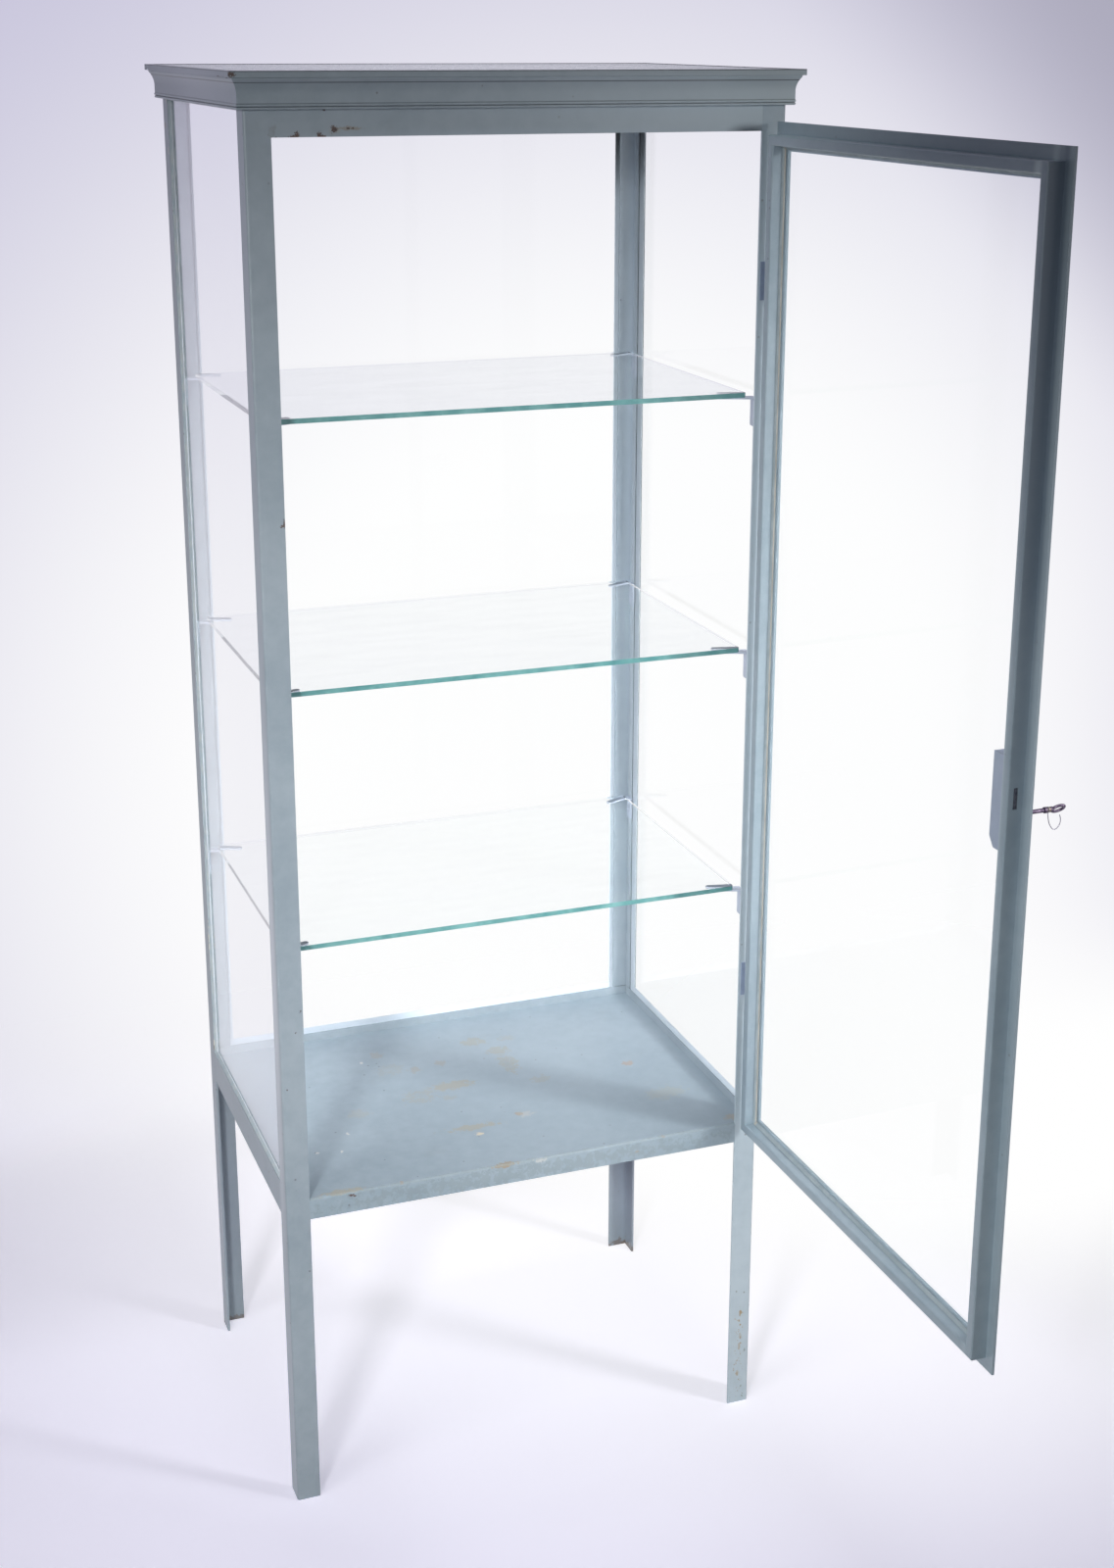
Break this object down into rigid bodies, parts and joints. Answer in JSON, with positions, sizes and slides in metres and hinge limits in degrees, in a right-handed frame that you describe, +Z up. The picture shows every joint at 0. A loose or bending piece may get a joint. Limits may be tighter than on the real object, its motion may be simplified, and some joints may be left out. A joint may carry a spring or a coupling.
{
  "type": "glazed display cabinet",
  "caption": "Tall painted steel display cabinet on angle-iron legs: glazed sides and back, moulded cornice, loose glass shelves on brackets, and one glazed door with hinges, lock and key.",
  "frame": {"origin": "on the floor, midway between the four legs", "axes": "+X to the right seen from the front, +Y to the back, +Z up"},
  "size_m": [0.7067, 1.0815, 1.777],
  "materials": {
    "grey_paint": "semi-gloss, worn",
    "window_glass": "polished",
    "shelf_glass": "polished, green edge",
    "putty": "matt, dirty",
    "rubber_block": "matt",
    "dark_steel": "dull, tarnished",
    "bright_wire": "satin"
  },
  "bodies": {
    "cabinet": {"post_front_left": "grey_paint", "post_front_right": "grey_paint", "post_back_left": "grey_paint", "post_back_right": "grey_paint", "header_front": "grey_paint", "header_back": "grey_paint", "header_left": "grey_paint", "header_right": "grey_paint", "sill_left": "grey_paint", "sill_right": "grey_paint", "sill_back": "grey_paint", "bottom_tray": "grey_paint", "cornice_front": "grey_paint", "cornice_back": "grey_paint", "cornice_left": "grey_paint", "cornice_right": "grey_paint", "top_panel": "grey_paint", "corner_bead_back_left": "grey_paint", "corner_bead_back_right": "grey_paint", "post_bead_front_left": "grey_paint", "post_bead_front_right": "grey_paint", "sill_bead_left": "grey_paint", "sill_bead_right": "grey_paint", "sill_bead_back": "grey_paint", "head_beads": "grey_paint", "shelf_brackets_lower": "grey_paint", "shelf_brackets_middle": "grey_paint", "shelf_brackets_upper": "grey_paint", "bracket_rivets": "grey_paint", "pane_left": "window_glass", "pane_right": "window_glass", "pane_back": "window_glass", "putty_left": "putty", "putty_right": "putty", "putty_back": "putty", "setting_blocks": "rubber_block", "hinge_leaf_post_upper": "dark_steel", "hinge_leaf_post_lower": "dark_steel", "hinge_pins": "dark_steel", "hinge_screws_post": "dark_steel"},
    "door": {"door_stile_lock": "grey_paint", "door_stile_hinge": "grey_paint", "door_rail_top": "grey_paint", "door_rail_bottom": "grey_paint", "lock_case": "grey_paint", "door_glass": "window_glass", "door_putty": "putty", "keyhole_plate": "dark_steel", "hinge_leaf_door_upper": "dark_steel", "hinge_leaf_door_lower": "dark_steel", "hinge_screws_door": "dark_steel"},
    "bolt": {"lock_bolt": "dark_steel"},
    "key": {"key": "dark_steel", "key_wire": "bright_wire"},
    "shelf_lower": {"shelf_lower": "shelf_glass"},
    "shelf_middle": {"shelf_middle": "shelf_glass"},
    "shelf_upper": {"shelf_upper": "shelf_glass"}
  },
  "joints": [
    {"name": "door_hinge", "type": "hinge", "parent": "cabinet", "child": "door", "pos_m": [0.3075, -0.23, 1.07], "axis": [0, 0, 1], "range_deg": [-91, 79]},
    {"name": "key_turn", "type": "hinge", "parent": "door", "child": "key", "pos_m": [0.31779, -0.81941, 1.06423], "axis": [0.9998, 0.0175, 0], "range_deg": [0, 90]},
    {"name": "bolt_slide", "type": "slide", "parent": "door", "child": "bolt", "axis": [0.0175, -0.9998, 0], "range_m": [0, 0.0091]},
    {"name": "shelf_lower_lift", "type": "slide", "parent": "cabinet", "child": "shelf_lower", "axis": [0, 0, 1], "range_m": [0, 0.03]},
    {"name": "shelf_middle_lift", "type": "slide", "parent": "cabinet", "child": "shelf_middle", "axis": [0, 0, 1], "range_m": [0, 0.03]},
    {"name": "shelf_upper_lift", "type": "slide", "parent": "cabinet", "child": "shelf_upper", "axis": [0, 0, 1], "range_m": [0, 0.03]}
  ],
  "couplings": [
    {"joint": "bolt_slide", "follows": "key_turn", "m_per_rad": 0.0057296}
  ]
}
